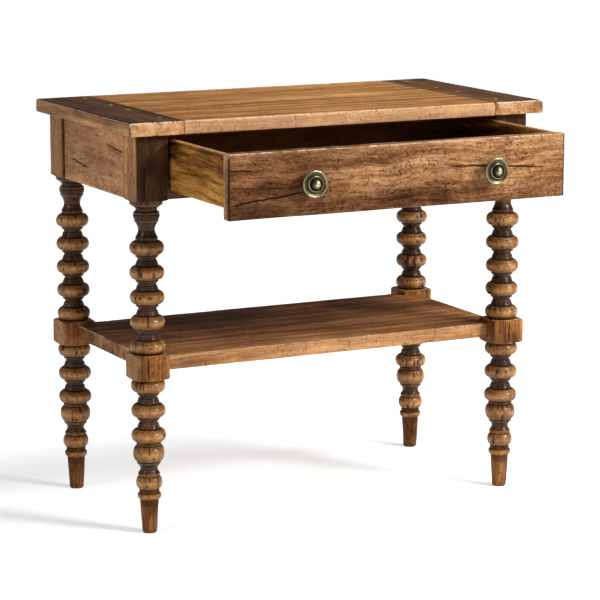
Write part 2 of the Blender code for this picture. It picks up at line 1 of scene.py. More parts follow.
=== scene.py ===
import bpy
import numpy as np
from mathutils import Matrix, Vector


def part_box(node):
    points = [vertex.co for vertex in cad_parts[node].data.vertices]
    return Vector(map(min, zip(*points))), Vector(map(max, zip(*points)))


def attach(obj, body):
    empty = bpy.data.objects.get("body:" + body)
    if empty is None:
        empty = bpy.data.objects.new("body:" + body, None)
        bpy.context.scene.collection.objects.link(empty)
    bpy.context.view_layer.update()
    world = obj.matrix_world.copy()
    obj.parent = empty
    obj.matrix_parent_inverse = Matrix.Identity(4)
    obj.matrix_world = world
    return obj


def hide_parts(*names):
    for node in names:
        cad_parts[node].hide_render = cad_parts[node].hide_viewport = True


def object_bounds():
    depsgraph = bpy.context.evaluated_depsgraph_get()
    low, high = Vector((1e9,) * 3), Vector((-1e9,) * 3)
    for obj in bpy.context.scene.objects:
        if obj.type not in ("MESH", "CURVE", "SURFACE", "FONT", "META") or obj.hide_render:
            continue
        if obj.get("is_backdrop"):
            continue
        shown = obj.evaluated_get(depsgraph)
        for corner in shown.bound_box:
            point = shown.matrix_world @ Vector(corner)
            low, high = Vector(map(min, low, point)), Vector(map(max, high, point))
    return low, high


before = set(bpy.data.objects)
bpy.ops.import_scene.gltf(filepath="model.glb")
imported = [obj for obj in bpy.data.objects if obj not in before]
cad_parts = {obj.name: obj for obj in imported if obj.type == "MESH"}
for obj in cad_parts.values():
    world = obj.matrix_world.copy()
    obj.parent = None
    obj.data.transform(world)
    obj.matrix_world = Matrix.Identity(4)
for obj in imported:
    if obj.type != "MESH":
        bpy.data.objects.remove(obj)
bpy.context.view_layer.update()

# ---- viewpoint and light
# A long lens, a little above the top, looks at the table's left front corner. The main light falls steeply
# from the right, a soft lamp stands in front and a weak one at the left, and the pale room fills the shadows.
lens = bpy.data.cameras.new("viewpoint")
lens.sensor_width = 36.0
lens.lens = 155.18
lens.clip_end = 100.0
viewpoint = bpy.data.objects.new("viewpoint", lens)
viewpoint.location = (-1.8282, -3.5597, 1.0845)
viewpoint.rotation_euler = (1.38388, 0.0, -0.46714)
bpy.context.scene.collection.objects.link(viewpoint)
bpy.context.scene.camera = viewpoint
bpy.context.scene.view_settings.view_transform = "Standard"


def lamp(name, place, target, width, watts):
    """A square lamp of a width at a place, turned to face a target."""
    made = bpy.data.lights.new(name, "AREA")
    made.shape = "SQUARE"
    made.size = width
    made.energy = watts
    holder = bpy.data.objects.new(name, made)
    holder.location = place
    aim = np.subtract(target, place)
    flat = np.hypot(aim[0], aim[1])
    holder.rotation_euler = (np.arctan2(flat, -aim[2]), 0.0, np.arctan2(-aim[0], aim[1]))
    bpy.context.scene.collection.objects.link(holder)


table_middle = (0.0, 0.0, 0.4)
lamp("front_lamp", (2.3, -3.1, 2.3), table_middle, 0.9, 195.0)
lamp("left_lamp", (-3.4, -0.6, 1.8), table_middle, 1.6, 34.0)
key = bpy.data.lights.new("key_light", "SUN")
key.energy = 1.7
key.angle = np.radians(20)
key_holder = bpy.data.objects.new("key_light", key)
key_holder.rotation_euler = (0.0, np.radians(31), np.radians(-26))
bpy.context.scene.collection.objects.link(key_holder)

room = bpy.data.worlds.new("pale_room")
room.use_nodes = True
white = (1.0, 1.0, 1.0, 1.0)
room.node_tree.nodes["Background"].inputs["Color"].default_value = white
room.node_tree.nodes["Background"].inputs["Strength"].default_value = 0.18
bpy.context.scene.world = room


# ---- floor
# A plain pale studio floor, painted matt and lit from every side, so the shadows under the table stay soft
# and the ground runs out of sight without an edge.
class Signal:
    """A shader socket in a Python sum: each operation adds the Math node that works it out."""

    def __init__(self, tree, socket=None):
        self.tree = tree
        self.socket = socket

    def node(self, kind, settings, inputs, output=0):
        """Add a node of a kind: its settings first, stops being a ramp's, then each input's value or link."""
        made = self.tree.nodes.new(kind)
        for name, value in settings.items():
            if name == "stops":
                ramp = made.color_ramp.elements
                while len(ramp) < len(value):
                    ramp.new(0.5)
                for stop, (place, colour) in zip(ramp, value):
                    stop.position = place
                    stop.color = colour
            else:
                setattr(made, name, value)
        for name, value in inputs.items():
            if isinstance(value, Signal):
                self.tree.links.new(value.socket, made.inputs[name])
            else:
                made.inputs[name].default_value = value
        return Signal(self.tree, made.outputs[output])

    def math(self, operation, first, second=0.0):
        return self.node("ShaderNodeMath", {"operation": operation}, {0: first, 1: second})

    def __add__(self, other):
        return self.math("ADD", self, other)

    def __sub__(self, other):
        return self.math("SUBTRACT", self, other)

    def __rsub__(self, other):
        return self.math("SUBTRACT", other, self)

    def __mul__(self, other):
        return self.math("MULTIPLY", self, other)

    def __abs__(self):
        return self.math("ABSOLUTE", self)

    __radd__ = __add__
    __rmul__ = __mul__

    def rise(self, low, high):
        """0 up to low, 1 from high on, and a smooth S between."""
        spread = {"Value": self, "From Min": low, "From Max": high}
        return self.node("ShaderNodeMapRange", {"interpolation_type": "SMOOTHSTEP"}, spread)

    def noise(self, point, scale, detail=3.0, roughness=0.55):
        """Cloudy noise between 0 and 1 at a point, with its scale in clouds per metre."""
        settings = {"Scale": scale, "Detail": detail, "Roughness": roughness, "Vector": point}
        return self.node("ShaderNodeTexNoise", {}, settings, "Fac")

    def vector(self, operation, *values, output=0):
        """A sum of points or directions; output 1 is the number that a length or a dot product gives."""
        return self.node("ShaderNodeVectorMath", {"operation": operation}, dict(enumerate(values)), output)

    def axis(self, point, number):
        """One coordinate of a point."""
        return self.node("ShaderNodeSeparateXYZ", {}, {0: point}, number)

    def here(self):
        """The place on the piece that is being shaded, in metres."""
        return self.node("ShaderNodeTexCoord", {}, {}, "Object")

    def field(self, name):
        """A value between 0 and 1 that the mesh carries at its points."""
        return self.node("ShaderNodeAttribute", {"attribute_name": name}, {}, "Fac")

    def mix(self, base, other, factor, blend="MIX"):
        """Base colour taken towards the other by a factor."""
        settings = {"data_type": "RGBA", "blend_type": blend}
        return self.node("ShaderNodeMix", settings, {0: factor, 6: base, 7: other}, 2)

    def bump(self, strength, distance):
        """The surface direction that this signal gives when it is taken as a height."""
        return self.node("ShaderNodeBump", {}, {"Strength": strength, "Distance": distance, "Height": self})

    def feed(self, shader, name):
        """Link this signal to an input of a shader."""
        self.tree.links.new(self.socket, shader.inputs[name])


def tone(red, green, blue):
    """A display colour of 0 to 255 a channel as light: each channel to the power of about 2.4."""
    shown = np.array((red, green, blue)) / 255.0
    light = np.where(shown > 0.04045, ((shown + 0.055) / 1.055) ** 2.4, shown / 12.92)
    return (*[float(value) for value in light], 1.0)


def blank_material(name):
    """A new material, its Principled shader, and a signal to build its sums from."""
    made = bpy.data.materials.new(name)
    made.use_nodes = True
    tree = made.node_tree
    return made, tree.nodes["Principled BSDF"], Signal(tree)


matt_paint, shader, signal = blank_material("matt_floor_paint")
paint = signal.mix(tone(226, 226, 226), tone(221, 221, 222), signal.noise(signal.here(), 2.0))
paint.feed(shader, "Base Color")
shader.inputs["Roughness"].default_value = 0.9
shader.inputs["Specular IOR Level"].default_value = 0.1
shader.inputs["Emission Color"].default_value = white
shader.inputs["Emission Strength"].default_value = 0.51
reach = 12.0
corners = [(-reach, -reach, 0.0), (reach, -reach, 0.0), (reach, reach, 0.0), (-reach, reach, 0.0)]
ground = bpy.data.meshes.new("floor")
ground.from_pydata(corners, [], [(0, 1, 2, 3)])
ground.materials.append(matt_paint)
floor = bpy.data.objects.new("floor", ground)
bpy.context.scene.collection.objects.link(floor)
floor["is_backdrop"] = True


# ---- middle panel of the top
# Planks of old honey-brown hardwood glued up with their grain along the table, planed by hand and waxed.
# Its tongues enter the two breadboard ends, and its front arris is worn pale.
def wood(name, grain, tones, **finish):
    """A waxed wood with its grain along an axis (0, 1 or 2).

    The streaks are noise stretched along the grain and bent by slow sway; a ramp turns them into four tones.
    Over them come cloudy stain, open pores, worm specks and short checks, each a noise or a cell pattern past
    a threshold, then nicks and drying cracks. Gradients along an axis darken the colour, as stain and as
    painted shade. The piece's own fields add rubbed wood (wear), dark wax in the hollows and painted shade in
    a few places (glaze), chipped edges (pale), unstained wood (bare) and a wax shine (polished).
    """
    settings = {
        "streak": 46.0, "stretch": 0.055, "sway": 0.010, "tight": 1.0, "mottle": 0.5, "seed": 0.0,
        "cloud": 0.35, "pores": 0.5, "specks": 0.5, "checks": 0.3, "check_way": (0.30, 1.0),
        "nicks": None, "cracks": (), "stains": (), "bare_tones": None,
        "rubbed": tone(214, 168, 135), "dirt": tone(34, 20, 12), "pinkish": tone(244, 222, 206),
        "roughness": 0.60, "shine": 0.14, "gloss": 0.0, "relief": 0.5,
    }
    settings.update(finish)
    made, shader, signal = blank_material(name)
    spot = signal.here()
    shifted = signal.vector("ADD", spot, (settings["seed"],) * 3)
    drift = along_grain(grain, 0.0, settings["sway"] * 2)
    wander = signal.node("ShaderNodeTexNoise", {}, {"Scale": 7.0, "Detail": 2.0, "Vector": shifted}, "Color")
    bent = signal.vector("MULTIPLY_ADD", wander, drift, shifted)
    grainwise = signal.vector("MULTIPLY", bent, along_grain(grain, settings["stretch"]))
    finewise = signal.vector("MULTIPLY", bent, along_grain(grain, settings["stretch"] * 0.35))
    dashwise = signal.vector("MULTIPLY", bent, along_grain(grain, 0.14))
    check_across, check_along = settings["check_way"]
    checkwise = signal.vector("MULTIPLY", bent, along_grain(grain, check_along, check_across))

    streak = signal.noise(grainwise, settings["streak"], 8.0, 0.68)
    broad = signal.noise(grainwise, settings["streak"] * 0.22, 3.0, 0.5)
    fibre = signal.noise(finewise, 430.0, 4.0, 0.7)
    mottle = signal.noise(shifted, 260.0, 5.0, 0.75)
    pore = signal.noise(dashwise, 400.0, 4.0, 0.7).rise(0.52, 0.68) * settings["pores"]
    figure = (streak * 0.66 + broad * 0.34 - 0.5) * (2.3 * settings["tight"]) + 0.5
    figure = figure + (fibre - 0.5) * 0.75 + (mottle - 0.5) * settings["mottle"]
    colour = toned(signal, figure, tones)
    if settings["bare_tones"]:
        colour = signal.mix(colour, toned(signal, figure, settings["bare_tones"]), signal.field("bare"))
    cloud = signal.noise(shifted, 11.0, 4.0, 0.6).rise(0.32, 0.68)
    dimmed = signal.mix(colour, tone(122, 98, 76), settings["cloud"], "MULTIPLY")
    colour = signal.mix(dimmed, colour, cloud)
    colour = signal.mix(colour, signal.mix(colour, tone(104, 76, 60), 1.0, "MULTIPLY"), pore)

    where = signal.noise(shifted, 18.0, 3.0, 0.6).rise(0.38, 0.58)
    hole = signal.node("ShaderNodeTexVoronoi", {}, {"Scale": 150.0, "Vector": shifted}, "Distance")
    speck = (1 - hole.rise(0.11, 0.20)) * where * settings["specks"]
    torn = signal.noise(checkwise, 290.0, 3.0, 0.6)
    check = torn.rise(0.60, 0.67) * (where * 0.75 + 0.25) * settings["checks"]
    if settings["nicks"]:
        across, upward, amount = settings["nicks"]
        knocks = nicks(signal, spot, across, upward) * (where * 0.6 + 0.4) * amount
        check = signal.math("MAXIMUM", check, knocks)

    glaze = signal.field("glaze")
    wear = signal.field("wear")
    broken = signal.noise(shifted, 190.0, 4.0, 0.65).rise(0.36, 0.60)
    # each gradient darkens the colour towards one end of an axis: stain on some woods, painted shade on the
    # shelf and partly on the drawer front
    for axis, start, end, amount in settings["stains"]:
        spread = signal.axis(spot, axis).rise(min(start, end), max(start, end))
        spread = spread if end > start else 1 - spread
        stained_and_shaded = signal.mix(colour, tone(132, 102, 64), 1.0, "MULTIPLY")
        colour = signal.mix(colour, stained_and_shaded, spread * (cloud * -0.4 + 1.2) * amount)
    grained = signal.mix(settings["rubbed"], colour, 0.8 - fibre * 0.9)
    colour = signal.mix(colour, grained, wear * (broken * 0.45 + 0.55))
    colour = signal.mix(colour, settings["dirt"], glaze)
    colour = signal.mix(colour, settings["pinkish"], signal.field("pale") * (broken * 0.8 + 0.2))
    flaw = (speck + check) * (wear * 0.6 + 0.6)
    for split in settings["cracks"]:
        flaw = signal.math("MAXIMUM", flaw, crack_line(signal, spot, split))
    flaw = signal.math("MINIMUM", flaw, 0.96)
    signal.mix(colour, tone(22, 12, 8), flaw).feed(shader, "Base Color")

    dull = settings["roughness"] + (fibre - 0.5) * 0.25 + flaw * 0.3 - wear * 0.06 + glaze * 0.12
    dull.feed(shader, "Roughness")
    shader.inputs["Specular IOR Level"].default_value = settings["shine"]
    if settings["gloss"]:
        (signal.field("polished") * settings["gloss"]).feed(shader, "Coat Weight")
        shader.inputs["Coat Roughness"].default_value = 0.22
    height = streak * 0.35 + fibre * 0.35 - pore * 0.35 - flaw * 1.1
    height.bump(settings["relief"], 0.0011).feed(shader, "Normal")
    return made


def along_grain(grain, factor, others=1.0):
    """Three factors for a point's coordinates: one along the grain, and another for both axes across it."""
    return tuple(factor if axis == grain else others for axis in range(3))


def toned(signal, figure, tones):
    """The colour of a figure value: four tones from dark to light at fixed stops, straight between them."""
    stops = list(zip((0.12, 0.38, 0.62, 0.90), tones))
    return signal.node("ShaderNodeValToRGB", {"stops": stops}, {"Fac": figure}, "Color")


# a drying crack sways by two sines (radians a metre, reach in metres) and fades over two parts of its run
CRACK_SWAY = ((86.0, 0.0005), (297.0, 0.0003))
CRACK_FADE_IN = 0.12
CRACK_FADE_OUT = 0.25


def crack_line(signal, spot, split):
    """A drying crack: near 1 within half its width of a swaying line between two points of two axes.

    The split is (axis across, axis along, start, end, level at start, level at end, half width, plane axis,
    low, high); the line only shows where the plane axis is between low and high.
    """
    over, along, start, end, first, last, half, plane, low, high = split
    travel = signal.axis(spot, along)
    depth = signal.axis(spot, plane)
    run = end - start
    sway = sum(signal.math("SINE", travel * rate) * reach for rate, reach in CRACK_SWAY)
    ragged = signal.noise(spot, 260.0, 2.0, 0.6) * 1.2 + 0.4
    ends = travel.rise(start, start + run * CRACK_FADE_IN)
    ends = ends * (1 - travel.rise(end - run * CRACK_FADE_OUT, end))
    inside = depth.rise(low - 0.0005, low) * (1 - depth.rise(high, high + 0.0005))
    distance = abs(signal.axis(spot, over) - first - (travel - start) * ((last - first) / run) + sway)
    width = ragged * ends * half
    return (1 - (distance - width).rise(-half * 0.5, half * 0.35)) * inside * ends.rise(0.02, 0.2)


def nicks(signal, spot, across, upward):
    """Short knocks in a face of two axes: a thin stroke at its own angle in each cell of a flat pattern.

    A point is in a stroke when |offset x lean| is under the half width and |offset . lean| under the half
    length, with offset the way from the cell's own point and lean the unit direction drawn for the cell.
    """
    flat = {0: signal.axis(spot, across), 1: signal.axis(spot, upward)}
    flat = signal.node("ShaderNodeCombineXYZ", {}, flat)
    cells = signal.node("ShaderNodeTexVoronoi", {"voronoi_dimensions": "2D"}, {"Scale": 80.0, "Vector": flat})
    drawn = Signal(signal.tree, cells.socket.node.outputs["Color"])
    own_point = Signal(signal.tree, cells.socket.node.outputs["Position"])
    offset = signal.vector("SUBTRACT", flat, own_point)
    lean = signal.vector("MULTIPLY_ADD", drawn, (2.0, 2.0, 0.0), (-1.0, -1.0, 0.0))
    lean = signal.vector("NORMALIZE", lean)
    beside = signal.vector("LENGTH", signal.vector("CROSS_PRODUCT", offset, lean), output=1)
    forth = signal.vector("DOT_PRODUCT", offset, lean, output=1)
    half_length = signal.axis(drawn, 2).rise(0.35, 1.0) * 0.0052
    outward = signal.node("ShaderNodeNewGeometry", {}, {}, "Normal")
    facing = abs(signal.axis(outward, 3 - across - upward)).rise(0.8, 0.95)
    return (1 - beside.rise(0.0004, 0.0009)) * (1 - (abs(forth) - half_length).rise(-0.0008, 0.0)) * facing


def patchy(points, size, seed):
    """Smooth noise between 0 and 1: seeded values on a lattice of a size, eased from corner to corner."""
    cell = points / size + seed * 7.31
    corner = np.floor(cell)
    part = cell - corner
    part = part * part * (3.0 - 2.0 * part)
    total = np.zeros(points.shape[:-1])
    for offset in np.ndindex(2, 2, 2):
        value = np.sin((corner + offset) @ np.array((127.1, 311.7, 74.7)) + seed) * 43758.5453
        weight = np.prod(np.where(np.array(offset) == 1, part, 1.0 - part), axis=-1)
        total += weight * (value - np.floor(value))
    return total


def skin(name, rings, finish, body, node, slot, **fields):
    """A closed piece from rings of points: four-sided faces from ring to ring, and a flat face over each end.

    The volume inside, summed from the triangles to the origin, tells which way the faces point.
    """
    count, around = rings.shape[:2]
    index = np.arange(count * around).reshape(count, around)
    turned = np.roll(index, -1, axis=1)
    quads = np.stack((index[:-1], turned[:-1], turned[1:], index[1:]), axis=-1).reshape(-1, 4)
    points = rings.reshape(-1, 3)
    middle = points.mean(axis=0)
    a, b, c, d = (points[quads[:, k]] - middle for k in range(4))
    volume = np.sum(np.cross(b - d, c - a) * (a + b + c + d))
    ends = (index[0][::-1], index[-1])
    if volume > 0:
        quads = quads[:, ::-1]
        ends = (index[0], index[-1][::-1])
    corners = np.concatenate((quads.reshape(-1), *ends))
    starts = np.concatenate((np.arange(len(quads)) * 4, len(quads) * 4 + np.array((0, around))))
    mesh = bpy.data.meshes.new(name)
    mesh.vertices.add(len(points))
    mesh.vertices.foreach_set("co", points.reshape(-1))
    mesh.loops.add(len(corners))
    mesh.loops.foreach_set("vertex_index", corners)
    mesh.polygons.add(len(starts))
    mesh.polygons.foreach_set("loop_start", starts)
    for field, values in fields.items():
        layer = mesh.attributes.new(field, "FLOAT", "POINT")
        layer.data.foreach_set("value", np.clip(values, 0.0, 1.0).reshape(-1))
    mesh.update(calc_edges=True)
    mesh.shade_smooth()
    mesh.set_sharp_from_angle(angle=np.radians(50))
    mesh.materials.append(finish)
    made = bpy.data.objects.new(name, mesh)
    bpy.context.scene.collection.objects.link(made)
    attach(made, body)
    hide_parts(node)
    return made


def board(low, high, along, eases, spacing, seed, pitch=0.0025, end_ease=0.0015):
    """Rings of a board: a rectangle with four eased corners carried along an axis and drawn in at both ends.

    Each ring point is a point of a smaller rectangle plus its corner's ease along its own direction, so a
    side stays flat while the ease changes. The eases belong to the corners (low low, high low, high high,
    low high) of the two cross axes, and noise along the board wears each more or less. The spacing is that
    of the points on each of the four sides, and the pitch that of the rings. Returns the rings, each
    point's outward direction, and its distance from the nearest arris.
    """
    low, high = np.array(low, float), np.array(high, float)
    first, second = [axis for axis in range(3) if axis != along]
    half = (high - low) / 2
    middle = (high + low) / 2
    turn = np.linspace(0.0, np.pi / 2, 5)
    run = max(2, int(round(2 * half[along] / pitch)))
    inner = np.linspace(low[along] + end_ease, high[along] - end_ease, run)
    lead = low[along] + end_ease * (1 - np.sin(turn[::-1][:-1]))
    tail = high[along] - end_ease * (1 - np.sin(turn[1:]))
    station = np.concatenate((lead, inner, tail))
    drawn = end_ease * np.concatenate((1 - np.cos(turn[::-1][:-1]), np.zeros(run), 1 - np.cos(turn[1:])))
    signs, normals, weights = [], [], []
    # round the section: each corner's two signs, the direction its ease starts in, and its place in eases
    corners = ((1, -1, -np.pi / 2, 1), (1, 1, 0.0, 2), (-1, 1, np.pi / 2, 3), (-1, -1, np.pi, 0))
    for place, (u, v, angle, number) in enumerate(corners):
        angles = angle + turn
        signs += [(u, v)] * len(turn)
        normals += list(zip(np.cos(angles), np.sin(angles)))
        weights += [np.eye(4)[number]] * len(turn)
        next_u, next_v, _, next_number = corners[(place + 1) % 4]
        size = half[first] if u != next_u else half[second]
        steps = max(2, int(round(2 * size / spacing[place])))
        for t in np.arange(1, steps) / steps:
            signs.append((u + (next_u - u) * t, v + (next_v - v) * t))
            normals.append((np.cos(angles[-1]), np.sin(angles[-1])))
            weights.append(np.eye(4)[number] * (1 - t) + np.eye(4)[next_number] * t)
    signs, normals, weights = (np.array(rows) for rows in (signs, normals, weights))
    spread = station[:, None, None] * np.array((1.0, 0.0, 0.0)) + np.arange(4)[None, :, None] * 0.31
    worn = 0.55 + 0.75 * patchy(spread, 0.035, seed) + 0.5 * patchy(spread, 0.009, seed + 3)
    ease = np.array(eases) * worn @ weights.T
    rings = np.zeros((len(station), len(signs), 3))
    rings[..., along] = station[:, None]
    for column, axis in ((0, first), (1, second)):
        size = half[axis] - ease - drawn[:, None]
        rings[..., axis] = middle[axis] + signs[:, column] * size + normals[:, column] * ease
    outward = np.zeros_like(rings)
    outward[..., first] = normals[:, 0]
    outward[..., second] = normals[:, 1]
    gaps = np.sort(half - abs(rings - middle), axis=-1)
    return rings, outward, gaps[..., 1]


def dented(rings, outward, seed, count, radius, depth, ripple=0.0002):
    """Push the surface in: seeded round dents, each a bell of its radius, and a slow hand-planed ripple."""
    rng = np.random.default_rng(seed)
    flat = rings.reshape(-1, 3)
    push = ripple * patchy(rings, 0.045, seed + 0.5)
    chosen = flat[rng.integers(0, len(flat), count)]
    sizes = radius * rng.uniform(0.4, 1.3, count)
    deep = depth * rng.uniform(0.2, 1.0, count)
    for centre, size, down in zip(chosen, sizes, deep):
        offset = rings - centre
        push = push + down * np.exp(-np.sum(offset * offset, axis=-1) / size**2)
    return rings - outward * push[..., None]


def cracked(rings, outward, splits, depth):
    """Sink the same cracks into the surface: a bell across each one's line, fading to its ends."""
    push = np.zeros(rings.shape[:2])
    for over, along, start, end, first, last, half, plane, low, high in splits:
        travel = rings[..., along]
        run = end - start
        sway = sum(np.sin(travel * rate) * reach for rate, reach in CRACK_SWAY)
        line = first + (travel - start) * (last - first) / run - sway
        fade = np.clip((travel - start) / (run * CRACK_FADE_IN), 0.0, 1.0)
        fade = fade * np.clip((end - travel) / (run * CRACK_FADE_OUT), 0.0, 1.0)
        inside = (rings[..., plane] > low) & (rings[..., plane] < high)
        push += depth * fade * inside * np.exp(-(((rings[..., over] - line) / (half + 0.0006)) ** 2))
    return rings - outward * push[..., None]


# the rub on an arris fades over ARRIS_RUB, chips stay within CHIP_REACH of a piece's upper face, a point
# within AT_FACE of a plane is on that face, and an arris within JOINT_BAND of a joint is not rubbed
ARRIS_RUB = 0.0022
CHIP_REACH = 0.006
AT_FACE = 0.0012
JOINT_BAND = 0.003


def chipped(rings, near, top, line, patches):
    """Bare wood along the upper arrises: 1 near them and 0 past a width, where patchy noise is high.

    The line is (value on the arris, width), and the patches are (size, seed, level taken off).
    """
    value, width = line
    size, seed, level = patches
    patch = np.clip(patchy(rings, size, seed) * 3.0 - level, 0.0, 1.0)
    return np.clip(value - near / width, 0.0, 1.0) * (rings[..., 2] > top - CHIP_REACH) * patch


panel_low, panel_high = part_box("top_panel")
joint_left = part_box("breadboard_end_left")[1][0]
joint_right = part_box("breadboard_end_right")[0][0]
joint_gap = 0.0002
under_cad_top = 0.0003
top_low = (joint_left + joint_gap, panel_low[1], panel_low[2])
top_high = (joint_right - joint_gap, panel_high[1], panel_high[2] - under_cad_top)
honey_wood = wood(
    "honey_top_wood", 0, (tone(104, 58, 20), tone(168, 111, 56), tone(205, 151, 90), tone(232, 186, 122)),
    streak=52.0, stretch=0.045, sway=0.006, cloud=0.30, specks=0.7, checks=0.7, roughness=0.62,
    # the gradient darkens the top towards its left end
    rubbed=tone(226, 184, 150), stains=((0, 0.05, -0.32, 0.28),), nicks=(0, 1, 1.1),
)
top_eases = (0.0012, 0.0012, 0.0026, 0.0026)
top_steps = (0.004, 0.006, 0.003, 0.006)
rings, outward, near = board(top_low, top_high, 0, top_eases, top_steps, 3, end_ease=0.0003)
rings = dented(rings, outward, 5, 60, 0.004, 0.0005)
joint = np.minimum(rings[..., 0] - top_low[0], top_high[0] - rings[..., 0])
arris = np.exp(-near / ARRIS_RUB) * (joint > 0.004)
front_face = (rings[..., 1] < top_low[1] + AT_FACE) & (near > 0.0005)
wear = np.maximum(arris * 0.6, 0.65 * front_face) * (0.5 + 0.7 * patchy(rings, 0.012, 2))
pale = chipped(rings, near, top_high[2], (1.5, 0.0010), (0.016, 2, 0.4)) * (joint > JOINT_BAND)
on_top = rings[..., 2] > top_high[2] - 0.002
glaze = on_top * (0.55 * np.exp(-joint / 0.0015) + 0.25 * np.exp(-joint / 0.03) * patchy(rings, 0.02, 4))
skin("top_field", rings, honey_wood, "table", "top_panel", "top_wood", wear=wear, glaze=glaze, pale=pale)


# ---- breadboard ends
# Two dark boards across the ends of the panel, their grain along the depth of the table. Each is grooved for
# the panel's tongue, and its front end shows upright growth lines.
umber_wood = wood(
    "umber_breadboard_wood", 1, (tone(30, 14, 6), tone(56, 32, 17), tone(82, 52, 30), tone(114, 78, 48)),
    streak=60.0, stretch=0.05, sway=0.006, cloud=0.45, specks=0.4, checks=0.3, roughness=0.62,
    rubbed=tone(150, 108, 72),
    bare_tones=(tone(104, 60, 28), tone(164, 112, 66), tone(208, 156, 104), tone(236, 192, 142)),
)
for side, name in ((-1, "left"), (1, "right")):
    node = f"breadboard_end_{name}"
    low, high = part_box(node)
    high[2] -= under_cad_top
    eases = (0.0016, 0.0004, 0.0004, 0.0032) if side < 0 else (0.0004, 0.0016, 0.0032, 0.0004)
    rings, outward, near = board(low, high, 1, eases, (0.006, 0.004, 0.006, 0.003), 11 + side)
    rings = dented(rings, outward, 21 + side, 40, 0.004, 0.0006, 0.0005)
    joint = (high[0] - rings[..., 0]) if side < 0 else (rings[..., 0] - low[0])
    from_edge = abs(rings[..., 0] - (low[0] if side < 0 else high[0]))
    on_top = rings[..., 2] > high[2] - AT_FACE
    front_end = rings[..., 1] < low[1] + AT_FACE
    wear = 0.3 * np.exp(-near / ARRIS_RUB) * (joint > JOINT_BAND) * patchy(rings, 0.008, 6)
    bare = np.where(on_top, 0.0 if side < 0 else 0.18, np.where(front_end, 1.0, 0.62))
    bare = bare * (0.85 + 0.15 * patchy(rings, 0.02, 6))
    pale = chipped(rings, near, high[2], (1.6, 0.0010), (0.016, 5 + side, 0.1)) * (joint > JOINT_BAND)
    growth = np.clip(patchy(rings * np.array((1.0, 1.0, 0.08)), 0.0022, 17) * 3.2 - 2.1, 0.0, 1.0)
    glaze = on_top * 0.6 * np.exp(-joint / 0.0015) + 0.35 * growth * front_end
    corner = np.clip(1.8 - np.hypot(rings[..., 1] - low[1], from_edge) / 0.0014, 0.0, 1.0)
    glaze = np.maximum(glaze, 0.9 * corner * (rings[..., 2] < high[2] - 0.002))
    rim = np.minimum(high[1] - rings[..., 1], from_edge)
    glaze = np.maximum(glaze, on_top * 0.6 * np.exp(-((rim - 0.005) / 0.004) ** 2))
    fields = {"wear": wear, "glaze": glaze, "pale": pale, "bare": bare}
    skin(f"breadboard_{name}", rings, umber_wood, "table", node, "breadboard_wood", **fields)


# ---- pegs
# Small pale dowels driven through each breadboard end into the tongue. They are cut off level, show their end
# grain, and a ring of dark wax has settled round each one.
def turned(axis_point, radius, height, sides, forward=False):
    """Rings of a turned piece: each (radius, height) pair as a circle round an upright axis, or round -Y."""
    angle = np.linspace(0.0, 2 * np.pi, sides, endpoint=False)
    rings = np.zeros((len(radius), sides, 3))
    across = radius[:, None] * np.cos(angle)
    up = radius[:, None] * np.sin(angle)
    rings[..., 0] = axis_point[0] + across
    rings[..., 1] = axis_point[1] - height[:, None] if forward else axis_point[1] + up
    rings[..., 2] = axis_point[2] + up if forward else axis_point[2] + height[:, None]
    return rings


peg_wood = wood(
    "pale_peg_wood", 2, (tone(120, 82, 52), tone(160, 118, 82), tone(186, 145, 108), tone(208, 172, 136)),
    streak=240.0, stretch=0.4, sway=0.002, cloud=0.3, specks=0.2, checks=0.2,
)
peg_arc = np.linspace(0.02, np.pi / 2, 8)
for side in ("left", "right"):
    for number in range(1, 5):
        node = f"breadboard_peg_{side}_{number}"
        low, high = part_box(node)
        radius = (high[0] - low[0]) / 2
        curve_radius = np.concatenate((radius * np.sin(peg_arc) ** 0.6, (radius, radius * 0.999)))
        curve_height = np.concatenate((-0.0006 * (1 - np.cos(peg_arc)), (-0.004, low[2] - high[2])))
        centre = ((low[0] + high[0]) / 2, (low[1] + high[1]) / 2, high[2])
        rings = turned(centre, curve_radius, curve_height, 32)
        ringed = np.exp(-abs(rings[..., 2] - high[2] + 0.0006) / 0.0002)
        fields = {"wear": 0.2 * ringed, "glaze": 0.6 * ringed}
        skin(f"peg_{side}_{number}", rings, peg_wood, "table", node, "peg_wood", **fields)


# ---- legs
# Four legs, each turned from one square billet that stays square at the apron and round the shelf. The beads
# are rubbed golden where hands and cloths reach, and dark wax stays in the hollows between them.
HALF_SQUARE = 0.0265
LEG_X = 0.311
BETWEEN_LEG_ROWS = 0.108
LEG_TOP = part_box("leg_front_left")[1][2]
APRON_LEVEL = 0.513
BLOCK_TOP = 0.2798
BLOCK_BOTTOM = 0.2408
# turned lengths from the top down: height, radius above, radius below, swell or hollow
HEAD_TURNING = (
    (0.0030, 0.0262, 0.0255, 0.0),
    (0.0035, 0.0250, 0.0236, 0.0009),
    (0.0040, 0.0234, 0.0180, 0.0),
    (0.0060, 0.0174, 0.0174, -0.0008),
    (0.0038, 0.0184, 0.0192, 0.0012),
    (0.0036, 0.0192, 0.0196, 0.0013),
    (0.0036, 0.0192, 0.0184, 0.0013),
    (0.0045, 0.0180, 0.0178, 0.0009),
    (0.0230, 0.0176, 0.0166, -0.0042),
    (0.0030, 0.0164, 0.0168, 0.0008),
    (0.0030, 0.0168, 0.0164, 0.0008),
)
FOOT_TURNING = (
    (0.0050, 0.0190, 0.0192, 0.0),
    (0.0250, 0.0176, 0.0176, 0.0067),
    (0.0035, 0.0188, 0.0186, 0.0),
    (0.0145, 0.0180, 0.0165, -0.0036),
    (0.0055, 0.0168, 0.0162, 0.0008),
    (0.0195, 0.0150, 0.0150, 0.0053),
    (0.0070, 0.0158, 0.0158, -0.0004),
    (0.0090, 0.0160, 0.0150, 0.0027),
    (0.0515, 0.0146, 0.0114, 0.0),
    (0.0020, 0.0114, 0.0100, 0.0),
)
BEAD_HEIGHT = 0.021
BEAD_PITCH = 0.0378
BEAD_TURNING = (0.0172, 0.0172, 0.0093)
